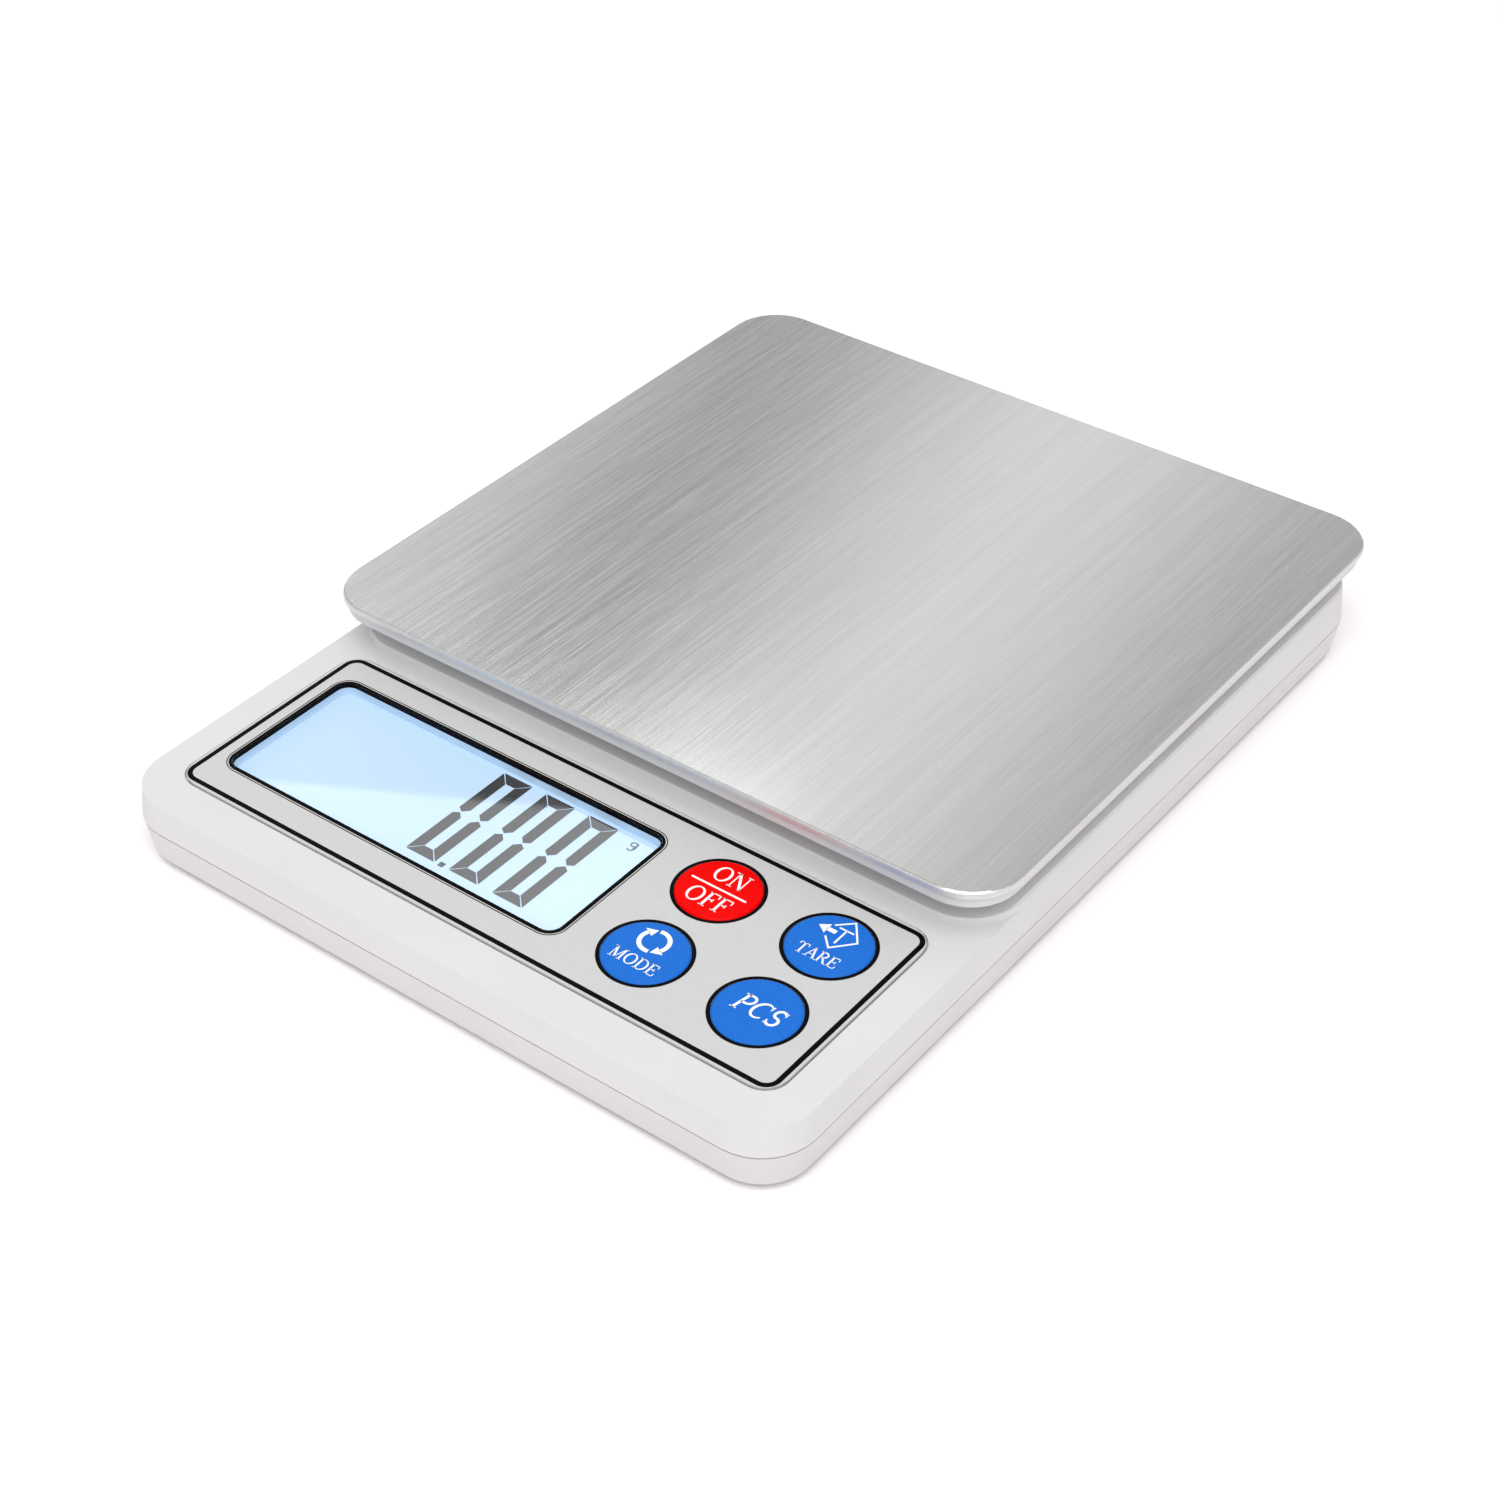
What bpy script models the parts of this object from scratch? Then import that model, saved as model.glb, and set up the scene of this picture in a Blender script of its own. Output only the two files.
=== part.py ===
"""Digital gram scale: a pocket-size counting scale with a steel weighing plate on a single-point load cell.

Lengths in this file are millimetres. X runs to the user's right, Y runs from the front edge of the case
towards the back, Z runs up from the surface the feet stand on.
"""

import math

import bmesh
import bpy

MM = 0.001

# Overall size and clearances
OVERALL_DEPTH = 172.9
GAP = 0.3
OVERCUT = 4.0
LARGE_RADIUS = 4.0
CORNER_STEPS = 8
SMALL_CORNER_STEPS = 4
ROUND_STEPS = 18
SMALL_ROUND_STEPS = 10
SMOOTH_ANGLE = 32.0

# Case, measured at the seam between its two halves
CASE = (-65.0, 65.0, 0.0, 171.5)
CASE_RADIUS = 9.5
CASE_BOTTOM = 1.0
SEAM_LOW = 7.65
SEAM_HIGH = SEAM_LOW + GAP
SEAM_DROP = 0.05
WALL = 2.0
FLOOR_TOP = 3.0
LOWER_LEVELS = ((CASE_BOTTOM, 1.9), (1.3, 1.35), (1.9, 1.0), (SEAM_LOW, SEAM_DROP))
LIP_TOP = 9.3
LIP_OUTER = 1.2
REBATE = LIP_OUTER - GAP

# Deck under the control panel and raised plinth under the weighing plate
DECK_TOP = 13.1
DECK_UNDER = 11.1
PLINTH_TOP = 14.5
PLINTH_FRONT = 51.8
PLINTH_EDGE = 0.35
PLINTH_UNDER = 12.5
SIDE_DRAFT = 0.1
PLINTH_SIDE = 64.45
TUB_DRAFT = 1.0
ROOT = 0.5
HOLLOW_INSETS = (0.2, 0.6, 0.8)
RISER_DRAFT = 0.3
POST_OPENING_RADIUS = 2.0
RISER = (-61.8, 61.8, 54.3, 168.3)
RISER_RADIUS = 7.0
RISER_TOP = 18.2
RISER_UNDER = 16.2
RISER_LEAN = 0.6
RISER_EDGE = 0.4
STOP_TOP = 18.7
STOP_RADIUS = 3.0
STOP_SPOTS = ((-52.0, 64.0), (52.0, 64.0), (-52.0, 158.0), (52.0, 158.0))

# Control panel sheet, display and keys
PANEL = (-59.0, 58.25, 7.9, 48.55)
PANEL_RADIUS = 3.9
PANEL_TOP = 13.3
PANEL_THICK = 0.5
PANEL_BED = PANEL_TOP - PANEL_THICK - GAP
WINDOW = (-55.05, 13.0, 14.75, 42.35)
WINDOW_RADIUS = 2.5
WINDOW_LEVELS = (11.3, 12.6)
LCD_INSET = 0.85
LCD_LEVELS = (9.6, 11.0)
BACKLIGHT = (-54.2, 12.15, 15.6, 38.4)
BACKLIGHT_LEVELS = (7.0, 9.3)
STRIP = (-50.0, 8.0, 38.9, 41.4)
STRIP_LEVELS = (6.9, 9.3)
KEY_COLUMNS = (26.3, 46.7)
KEY_ROWS = (20.15, 37.6)
KEY_RADIUS = 6.75
KEY_TOP = 13.55
KEY_EDGE = 0.25
KEY_FLANGE_RADIUS = 7.8
KEY_FLANGE = (10.0, 10.8)
PLUNGER_RADIUS = 1.6
PLUNGER_LEVELS = (8.0, 9.7)
SWITCH_HALF = 3.1
SWITCH_LEVELS = (6.9, 8.8)
SWITCH_WELL_RADIUS = 1.95
SWITCH_WELL_BOTTOM = 7.35

# Circuit board
BOARD = (-51.0, 51.0, 6.0, 47.0)
BOARD_LEVELS = (5.4, 6.6)
BOARD_RADIUS = 1.5
BOARD_HOLE_RADIUS = 1.3
BOARD_SPOTS = ((-47.0, 9.5), (47.0, 9.5), (-47.0, 44.2), (47.0, 44.4))
POST_RADIUS = 2.6
POST_TOP = 5.1
POST_PILOT_RADIUS = 1.3
POST_PILOT_BOTTOM = 3.4
BOARD_SCREW = ((3.7, 0.9), (6.9, 0.9), (6.9, 1.9), (7.7, 1.9), (8.0, 1.5))
CHIP = (32.6, 39.6, 25.8, 32.8)
CHIP_LEVELS = (6.9, 8.1)
PLUG = (1.6, 8.4, 43.0, 46.4)
PLUG_LEVELS = (6.9, 8.9)

# Feet and the case screws above them
FOOT_SPOTS = ((-55.5, 10.0), (55.5, 10.0), (-55.5, 161.5), (55.5, 161.5))
FOOT_PROFILE = ((0.0, 4.6), (0.35, 5.0), (1.5, 5.0))
FOOT_WELL_RADIUS = 5.3
FOOT_WELL_TOP = 1.8
BOSS_RADIUS = 3.5
BOSS_TOPS = (12.0, 12.0, 17.0, 17.0)
HEAD_WELL_RADIUS = 2.8
HEAD_WELL_TOP = 4.2
SCREW_HOLE_RADIUS = 1.5
SCREW_HOLE_TOP = 11.4
CASE_SCREW = ((2.2, 2.1), (2.5, 2.5), (3.9, 2.5), (3.9, 1.2), (10.6, 1.2), (11.0, 0.7))

# Load cell across the middle of the case, with its spacers and screws
CELL = (-23.5, 23.5, 104.85, 116.85)
CELL_LEVELS = (7.0, 13.0)
CELL_MIDDLE_Y = 110.85
CELL_HOLE_SPOTS = (13.5, 19.5)
CELL_HOLE_RADIUS = 1.8
FLEXURE_SPOTS = (-5.0, 5.0)
FLEXURE_RADIUS = 2.3
FLEXURE_SLOT = 0.8
GAUGE = (-4.5, 4.5, 107.85, 113.85)
GAUGE_TOP_LEVELS = (13.3, 13.9)
GAUGE_UNDER_LEVELS = (6.1, 6.7)
BASE_SPACER = (9.5, 23.5, 104.85, 116.85)
BASE_SPACER_LEVELS = (5.0, 6.7)
PEDESTAL = (7.5, 25.5, 102.85, 118.85)
PEDESTAL_TOP = 4.7
BASE_WELL_RADIUS = 2.9
BASE_WELL_TOP = 3.1
BASE_SCREW = ((1.2, 2.2), (1.5, 2.5), (2.8, 2.5), (2.8, 1.4), (10.6, 1.4), (11.0, 0.9))
TOP_SPACER = (-23.5, -9.5, 105.1, 116.6)
TOP_SPACER_LEVELS = (13.3, 18.9)
TOP_SPACER_RADIUS = 1.0
POST_OPENING = (-25.5, -7.5, 103.0, 118.7)
TOP_WELL_RADIUS = 2.9
TOP_WELL_BOTTOM = 19.9
TOP_SCREW = ((8.4, 0.9), (8.8, 1.4), (20.2, 1.4), (20.2, 2.5), (21.2, 2.5), (21.3, 2.3))
CABLE_RADIUS = 0.8
CABLE_PATH = (
    (5.0, 47.6, 7.9), (5.0, 53.0, 7.9), (1.5, 60.0, 7.9), (1.5, 92.0, 7.9), (4.0, 98.0, 8.6), (8.0, 102.0, 9.6),
    (12.0, 103.2, 10.0),
)

# Battery bay, cells and sliding door
BAY = (-27.0, 27.0, 141.2, 164.0)
BAY_WALL = 1.6
BAY_TOP = 13.0
BAY_SILL = (-32.0, 32.0, 137.4, 168.6)
BAY_SILL_TOP = 4.6
DOOR = (-27.5, 27.5, 139.8, 169.5)
DOOR_FLANGE = (-29.5, 29.5, 139.8, 169.5)
DOOR_LEVELS = (CASE_BOTTOM, 1.9, 2.7)
GROOVE_LEVELS = (1.6, 3.0)
GRIP = (-9.0, 9.0)
GRIP_ROWS = (158.0, 160.4, 162.8)
GRIP_WIDTH = 1.0
GRIP_DEPTH = 0.4
BATTERY_ROWS = (147.0, 158.2)
BATTERY_Z = 8.7
BATTERY_PROFILE = ((-22.0, 4.9), (-21.7, 5.25), (20.9, 5.25), (21.2, 4.9), (21.2, 2.7), (22.2, 2.7))
CONTACT_OUTER = 26.7
CONTACT_INNER = 26.2
CONTACT_LEVELS = (4.9, 12.4)
CONTACT_HALF = 4.4
SPRING_REACH = 22.6
SPRING_RADII = (3.4, 2.0)
LEAD_RADIUS = 0.7
LEAD_PATHS = (
    ((30.2, 146.0, 7.6), (33.5, 142.0, 7.6), (34.5, 132.0, 7.6), (34.5, 60.0, 7.6), (20.0, 52.0, 7.6),
     (14.5, 48.4, 7.6)),
    ((30.2, 158.0, 7.6), (36.5, 152.0, 7.6), (37.5, 138.0, 7.6), (37.5, 58.0, 7.6), (24.0, 50.6, 7.6),
     (18.5, 48.0, 7.6)),
)

# Weighing plate and the tray that carries it
PLATE = (-66.3, 66.3, 48.8, 172.9)
PLATE_RADIUS = 9.3
PLATE_LEVELS = ((21.55, 0.0), (22.2, 0.0), (22.5, 0.12), (22.7, 0.4))
PLATE_SHEET = 0.8
TRAY_LEVELS = ((19.25, 1.0), (19.55, 0.7), (21.25, 0.6))
TRAY_CROWN_INSET = 1.3
TRAY_CROWN_TOP = 21.6
TRAY_POCKETS = (
    (-58.0, -29.0, 56.0, 101.0), (-25.0, 25.0, 56.0, 98.0), (29.0, 58.0, 56.0, 101.0),
    (-58.0, -29.0, 121.0, 166.0), (-25.0, 25.0, 123.5, 166.0), (29.0, 58.0, 121.0, 166.0),
)
TRAY_POCKET_TOP = 20.3
TRAY_POCKET_RADIUS = 3.0

# Surface colours and how rough each material is
SHELL_WHITE = (0.80, 0.79, 0.78)
PANEL_GREY = (0.68, 0.68, 0.68)
DISPLAY_BLUE = (0.58, 0.83, 1.0)
KEY_RED = (0.80, 0.01, 0.01)
KEY_BLUE = (0.02, 0.17, 0.74)
STEEL = (0.55, 0.55, 0.54)
ALUMINIUM = (0.75, 0.76, 0.77)
BOARD_GREEN = (0.02, 0.20, 0.06)
CHIP_BLACK = (0.02, 0.02, 0.02)
RUBBER_GREY = (0.10, 0.10, 0.10)
SILICONE_WHITE = (0.85, 0.85, 0.82)
NICKEL = (0.60, 0.58, 0.54)
CELL_JACKET = (0.10, 0.10, 0.12)
LEAD_RED = (0.60, 0.02, 0.02)
LEAD_BLACK = (0.02, 0.02, 0.02)


def clear_scene():
    """Removes whatever the new scene starts with."""
    for obj in list(bpy.context.scene.objects):
        bpy.data.objects.remove(obj, do_unlink=True)


def new_collection(name):
    """A collection linked under the scene."""
    collection = bpy.data.collections.new(name)
    bpy.context.scene.collection.children.link(collection)
    return collection


clear_scene()
PARTS = new_collection("digital_gram_scale")
TOOLS = new_collection("cutting_shapes")


def material(name, color, metallic, roughness, alpha=1.0):
    """One Principled material of its own."""
    mat = bpy.data.materials.new(name)
    mat.use_nodes = True
    shader = mat.node_tree.nodes["Principled BSDF"]
    shader.inputs["Base Color"].default_value = (*color, 1.0)
    shader.inputs["Metallic"].default_value = metallic
    shader.inputs["Roughness"].default_value = roughness
    shader.inputs["Alpha"].default_value = alpha
    return mat


def world(x, y, z):
    """Case millimetres to world metres, with the middle of the footprint at the origin."""
    return (x * MM, (y - OVERALL_DEPTH / 2) * MM, z * MM)


def outline(span, radius, inset):
    """Points of a rectangle with rounded corners, moved inwards by the inset, anticlockwise from above."""
    x0, x1, y0, y1 = span[0] + inset, span[1] - inset, span[2] + inset, span[3] - inset
    r = max(radius - inset, GAP)
    steps = CORNER_STEPS if radius > LARGE_RADIUS else SMALL_CORNER_STEPS
    centres = (
        (x1 - r, y1 - r, 0.0), (x0 + r, y1 - r, 90.0),
        (x0 + r, y0 + r, 180.0), (x1 - r, y0 + r, 270.0),
    )
    points = []
    for cx, cy, start in centres:
        for step in range(steps + 1):
            angle = math.radians(start + 90.0 * step / steps)
            points.append((cx + r * math.cos(angle), cy + r * math.sin(angle)))
    return points


def circle(x, y, radius, steps):
    """Points around a circle, anticlockwise from above."""
    angles = [2.0 * math.pi * step / steps for step in range(steps)]
    return [(x + radius * math.cos(a), y + radius * math.sin(a)) for a in angles]


def finish(name, bm, origin, collection):
    """Turns a bmesh into a named object with its origin at the given case position."""
    bmesh.ops.recalc_face_normals(bm, faces=bm.faces)
    mesh = bpy.data.meshes.new(name)
    bm.to_mesh(mesh)
    bm.free()
    obj = bpy.data.objects.new(name, mesh)
    obj.location = world(*origin)
    collection.objects.link(obj)
    return obj


def stack(name, rings, origin, collection=PARTS):
    """A closed solid through rings of points from bottom to top. Each ring is (z, points)."""
    bm = bmesh.new()
    loops = []
    for z, points in rings:
        loops.append([
            bm.verts.new(((x - origin[0]) * MM, (y - origin[1]) * MM, (z - origin[2]) * MM)) for x, y in points
        ])
    for lower, upper in zip(loops, loops[1:]):
        count = len(lower)
        for i in range(count):
            j = (i + 1) % count
            bm.faces.new((lower[i], lower[j], upper[j], upper[i]))
    bm.faces.new(list(reversed(loops[0])))
    bm.faces.new(loops[-1])
    return finish(name, bm, origin, collection)


def slab(name, span, radius, levels, collection=PARTS):
    """A rounded slab. Levels are (z, inset) pairs from bottom to top."""
    origin = ((span[0] + span[1]) / 2, (span[2] + span[3]) / 2, levels[0][0])
    return stack(name, [(z, outline(span, radius, inset)) for z, inset in levels], origin, collection)


def box(name, span, z0, z1, collection=PARTS):
    """A plain box."""
    x0, x1, y0, y1 = span
    corners = ((x0, y0), (x1, y0), (x1, y1), (x0, y1))
    origin = ((x0 + x1) / 2, (y0 + y1) / 2, z0)
    return stack(name, [(z0, corners), (z1, corners)], origin, collection)


def turned(name, x, y, profile, steps=ROUND_STEPS, collection=PARTS):
    """A round piece on an upright axis. The profile lists (z, radius) from bottom to top."""
    rings = [(z, circle(x, y, radius, steps)) for z, radius in profile]
    return stack(name, rings, (x, y, profile[0][0]), collection)


def hole(x, y, z0, z1, radius, steps=ROUND_STEPS):
    """An upright round cutting shape."""
    return turned("hole", x, y, ((z0, radius), (z1, radius)), steps, TOOLS)


def combine(obj, tool, operation):
    """Adds a boolean step to the object and keeps the second shape out of the result."""
    tool.display_type = "WIRE"
    tool.hide_render = True
    step = obj.modifiers.new(operation.lower(), "BOOLEAN")
    step.operation = operation
    step.solver = "EXACT"
    step.object = tool


def cut(obj, tool):
    """Takes the tool's volume away."""
    combine(obj, tool, "DIFFERENCE")


def join(obj, tool):
    """Adds the tool's volume."""
    combine(obj, tool, "UNION")


def paint(obj, mat, smooth=True):
    """Gives an object its material and soft shading across shallow angles."""
    obj.data.materials.append(mat)
    if smooth:
        obj.data.shade_smooth()
        obj.data.set_sharp_from_angle(angle=math.radians(SMOOTH_ANGLE))


def tube(name, path, radius):
    """A round lead along a bent path, as a mesh of its own."""
    curve = bpy.data.curves.new(name, "CURVE")
    curve.dimensions = "3D"
    curve.bevel_depth = radius * MM
    curve.bevel_resolution = 2
    curve.use_fill_caps = True
    spline = curve.splines.new("POLY")
    spline.points.add(len(path) - 1)
    start = path[0]
    for point, spot in zip(spline.points, path):
        point.co = (*((spot[axis] - start[axis]) * MM for axis in range(3)), 1.0)
    obj = bpy.data.objects.new(name, curve)
    obj.location = world(*start)
    PARTS.objects.link(obj)
    return obj


def build_lower_shell(mat):
    """Bottom half of the case: tub, lip, screw bosses, board posts, load cell pedestal and battery bay."""
    shell = slab("lower_shell", CASE, CASE_RADIUS, LOWER_LEVELS)
    join(shell, slab("lip", CASE, CASE_RADIUS, ((FLOOR_TOP, LIP_OUTER), (LIP_TOP, LIP_OUTER)), TOOLS))
    tub_levels = ((FLOOR_TOP, WALL + TUB_DRAFT), (SEAM_LOW, WALL), (LIP_TOP + OVERCUT, WALL))
    cut(shell, slab("tub", CASE, CASE_RADIUS, tub_levels, TOOLS))
    embed = FLOOR_TOP - ROOT
    for x, y in FOOT_SPOTS:
        join(shell, turned("boss", x, y, ((embed, BOSS_RADIUS), (SEAM_LOW, BOSS_RADIUS)), ROUND_STEPS, TOOLS))
    for x, y in BOARD_SPOTS:
        join(shell, turned("post", x, y, ((embed, POST_RADIUS), (POST_TOP, POST_RADIUS)), SMALL_ROUND_STEPS, TOOLS))
    join(shell, box("pedestal", PEDESTAL, embed, PEDESTAL_TOP, TOOLS))
    join(shell, box("sill", BAY_SILL, embed, BAY_SILL_TOP, TOOLS))
    walls = (BAY[0] - BAY_WALL, BAY[1] + BAY_WALL, BAY[2] - BAY_WALL, BAY[3] + BAY_WALL)
    join(shell, box("bay_walls", walls, embed + ROOT / 2, BAY_TOP, TOOLS))
    cut(shell, box("bay", BAY, CASE_BOTTOM - OVERCUT, BAY_TOP + OVERCUT, TOOLS))
    cut_door_channel(shell)
    for x, y in FOOT_SPOTS:
        cut(shell, hole(x, y, CASE_BOTTOM - OVERCUT, FOOT_WELL_TOP, FOOT_WELL_RADIUS))
        cut(shell, hole(x, y, CASE_BOTTOM, HEAD_WELL_TOP, HEAD_WELL_RADIUS))
        cut(shell, hole(x, y, CASE_BOTTOM, SEAM_LOW + OVERCUT, SCREW_HOLE_RADIUS, SMALL_ROUND_STEPS))
    for x, y in BOARD_SPOTS:
        cut(shell, hole(x, y, POST_PILOT_BOTTOM, POST_TOP + OVERCUT, POST_PILOT_RADIUS, SMALL_ROUND_STEPS))
    for x in CELL_HOLE_SPOTS:
        y = CELL_MIDDLE_Y
        cut(shell, hole(x, y, CASE_BOTTOM - OVERCUT, BASE_WELL_TOP, BASE_WELL_RADIUS))
        cut(shell, hole(x, y, CASE_BOTTOM, PEDESTAL_TOP + OVERCUT, CELL_HOLE_RADIUS, SMALL_ROUND_STEPS))
    paint(shell, mat)


def cut_door_channel(shell):
    """Stepped channel the battery door slides in, open through the back wall."""
    back = CASE[3] + OVERCUT
    narrow = (DOOR[0] - GAP, DOOR[1] + GAP, DOOR[2] - GAP, back)
    wide = (DOOR_FLANGE[0] - GAP, DOOR_FLANGE[1] + GAP, DOOR_FLANGE[2] - GAP, back)
    low, high = GROOVE_LEVELS
    cut(shell, box("channel", narrow, CASE_BOTTOM - OVERCUT, high - GAP, TOOLS))
    cut(shell, box("groove", wide, low, high, TOOLS))


def deck_clearance():
    """Everything in front of and above the deck, ending on the rounded front of the plinth."""
    rings = []
    r = CASE_RADIUS
    edge = PLINTH_TOP - PLINTH_EDGE
    for z, inset in ((DECK_TOP, 0.0), (edge, SIDE_DRAFT), (PLINTH_TOP + OVERCUT, PLINTH_EDGE + OVERCUT)):
        side = PLINTH_SIDE - SIDE_DRAFT * (z - DECK_TOP)
        front = PLINTH_FRONT + inset
        points = [(-side - OVERCUT, front + r), (-side - OVERCUT, -OVERCUT), (side + OVERCUT, -OVERCUT),
                  (side + OVERCUT, front + r)]
        for step in range(CORNER_STEPS + 1):
            angle = math.radians(90.0 * step / CORNER_STEPS)
            points.append((side - r + r * math.cos(angle), front + r - r * math.sin(angle)))
        for step in range(CORNER_STEPS + 1):
            angle = math.radians(90.0 * step / CORNER_STEPS)
            points.append((-side + r - r * math.sin(angle), front + r - r * math.cos(angle)))
        rings.append((z, points))
    return stack("deck_clearance", rings, (0.0, 0.0, DECK_TOP), TOOLS)


def build_upper_shell(mat):
    """Top half of the case: deck with its openings, plinth, riser, overload stops and screw bosses."""
    slope = SIDE_DRAFT
    levels = (
        (SEAM_HIGH, 0.0), (PLINTH_TOP - PLINTH_EDGE, slope * (PLINTH_TOP - SEAM_HIGH)),
        (PLINTH_TOP, slope * (PLINTH_TOP - SEAM_HIGH) + PLINTH_EDGE),
    )
    shell = slab("upper_shell", CASE, CASE_RADIUS, levels)
    cut(shell, deck_clearance())
    riser_levels = (
        (PLINTH_UNDER, 0.0), (PLINTH_TOP, 0.0),
        (RISER_TOP - RISER_EDGE, RISER_LEAN), (RISER_TOP, RISER_LEAN + RISER_EDGE),
    )
    join(shell, slab("riser", RISER, RISER_RADIUS, riser_levels, TOOLS))
    for x, y in STOP_SPOTS:
        join(shell, turned("stop", x, y, ((RISER_UNDER, STOP_RADIUS), (STOP_TOP, STOP_RADIUS)), ROUND_STEPS, TOOLS))
    below = SEAM_HIGH - OVERCUT
    cut(shell, slab("rebate", CASE, CASE_RADIUS, ((below, REBATE), (LIP_TOP + GAP, REBATE)), TOOLS))
    seam_inset, deck_inset, plinth_inset = (WALL + extra for extra in HOLLOW_INSETS)
    cut(shell, slab("hollow", CASE, CASE_RADIUS, ((below, seam_inset), (DECK_UNDER, deck_inset)), TOOLS))
    plinth_hollow = (CASE[0] + plinth_inset, CASE[1] - plinth_inset, PLINTH_FRONT + WALL, CASE[3] - plinth_inset)
    cut(shell, slab("plinth_hollow", plinth_hollow, RISER_RADIUS, ((LIP_TOP, 0.0), (PLINTH_UNDER, 0.0)), TOOLS))
    riser_hollow = (RISER[0] + seam_inset, RISER[1] - seam_inset, RISER[2] + seam_inset, RISER[3] - seam_inset)
    riser_hollow_levels = ((LIP_TOP, 0.0), (RISER_UNDER, RISER_DRAFT))
    cut(shell, slab("riser_hollow", riser_hollow, RISER_RADIUS - WALL, riser_hollow_levels, TOOLS))
    for (x, y), top in zip(FOOT_SPOTS, BOSS_TOPS):
        join(shell, turned("boss", x, y, ((SEAM_HIGH, BOSS_RADIUS), (top, BOSS_RADIUS)), ROUND_STEPS, TOOLS))
        cut(shell, hole(x, y, below, SCREW_HOLE_TOP, SCREW_HOLE_RADIUS, SMALL_ROUND_STEPS))
    cut_panel_openings(shell)
    through = ((RISER_UNDER - OVERCUT, 0.0), (STOP_TOP + OVERCUT, 0.0))
    cut(shell, slab("post_opening", POST_OPENING, POST_OPENING_RADIUS, through, TOOLS))
    paint(shell, mat)


def cut_panel_openings(shell):
    """Shallow bed for the panel sheet, the display opening and four round key openings."""
    bed = (PANEL[0] - GAP, PANEL[1] + GAP, PANEL[2] - GAP, PANEL[3] + GAP)
    cut(shell, slab("bed", bed, PANEL_RADIUS + GAP, ((PANEL_BED, 0.0), (DECK_TOP + OVERCUT, 0.0)), TOOLS))
    through = ((DECK_UNDER - OVERCUT / 2, 0.0), (DECK_TOP + OVERCUT, 0.0))
    cut(shell, slab("display_opening", WINDOW, WINDOW_RADIUS, through, TOOLS))
    for x in KEY_COLUMNS:
        for y in KEY_ROWS:
            cut(shell, hole(x, y, DECK_UNDER - GAP, DECK_TOP + OVERCUT, KEY_RADIUS + GAP, 2 * ROUND_STEPS))


def build_control_panel(mat):
    """Printed sheet over the deck, open over the display and the keys."""
    levels = ((PANEL_TOP - PANEL_THICK, 0.0), (PANEL_TOP, 0.0))
    panel = slab("control_panel", PANEL, PANEL_RADIUS, levels)
    low, high = PANEL_TOP - OVERCUT, PANEL_TOP + OVERCUT
    cut(panel, slab("panel_window", WINDOW, WINDOW_RADIUS, ((low, 0.0), (high, 0.0)), TOOLS))
    for x in KEY_COLUMNS:
        for y in KEY_ROWS:
            cut(panel, hole(x, y, low, high, KEY_RADIUS + GAP, 2 * ROUND_STEPS))
    paint(panel, mat)


def build_display(window_mat, lcd_mat, backlight_mat, strip_mat):
    """Clear window, liquid crystal glass, backlight and the conductive strip that joins it to the board."""
    paint(slab("display_window", WINDOW, WINDOW_RADIUS, [(z, GAP) for z in WINDOW_LEVELS]), window_mat)
    paint(box("lcd_glass", inset_span(WINDOW, LCD_INSET), *LCD_LEVELS), lcd_mat)
    paint(box("backlight_panel", BACKLIGHT, *BACKLIGHT_LEVELS), backlight_mat)
    paint(box("lcd_connector_strip", STRIP, *STRIP_LEVELS), strip_mat)


def inset_span(span, inset):
    """A rectangle made smaller on every side."""
    return (span[0] + inset, span[1] - inset, span[2] + inset, span[3] - inset)


def build_board(board_mat, chip_mat, plug_mat, screw_mat):
    """Circuit board with its processor, the sensor plug and four screws."""
    board = slab("circuit_board", BOARD, BOARD_RADIUS, [(z, 0.0) for z in BOARD_LEVELS])
    for number, (x, y) in enumerate(BOARD_SPOTS, 1):
        low, high = BOARD_LEVELS[0] - OVERCUT, BOARD_LEVELS[1] + OVERCUT
        cut(board, hole(x, y, low, high, BOARD_HOLE_RADIUS, SMALL_ROUND_STEPS))
        paint(turned(f"board_screw_{number}", x, y, BOARD_SCREW, SMALL_ROUND_STEPS), screw_mat)
    paint(board, board_mat)
    paint(box("controller_chip", CHIP, *CHIP_LEVELS), chip_mat)
    paint(box("sensor_plug", PLUG, *PLUG_LEVELS), plug_mat)


def build_key(name, x, y, cap_mat, plunger_mat, switch_mat):
    """One key: a flanged cap over a plunger that presses into its tactile switch."""
    profile = (
        (KEY_FLANGE[0], KEY_FLANGE_RADIUS), (KEY_FLANGE[1], KEY_FLANGE_RADIUS), (KEY_FLANGE[1], KEY_RADIUS),
        (KEY_TOP - KEY_EDGE, KEY_RADIUS), (KEY_TOP, KEY_RADIUS - KEY_EDGE),
    )
    paint(turned(f"button_{name}", x, y, profile, 2 * ROUND_STEPS), cap_mat)
    bottom, top = PLUNGER_LEVELS
    plunger = turned(f"plunger_{name}", x, y, ((bottom, PLUNGER_RADIUS), (top, PLUNGER_RADIUS)), SMALL_ROUND_STEPS)
    paint(plunger, plunger_mat)
    body = (x - SWITCH_HALF, x + SWITCH_HALF, y - SWITCH_HALF, y + SWITCH_HALF)
    switch = box(f"switch_{name}", body, *SWITCH_LEVELS)
    cut(switch, hole(x, y, SWITCH_WELL_BOTTOM, SWITCH_LEVELS[1] + OVERCUT, SWITCH_WELL_RADIUS, SMALL_ROUND_STEPS))
    paint(switch, switch_mat)


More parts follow.
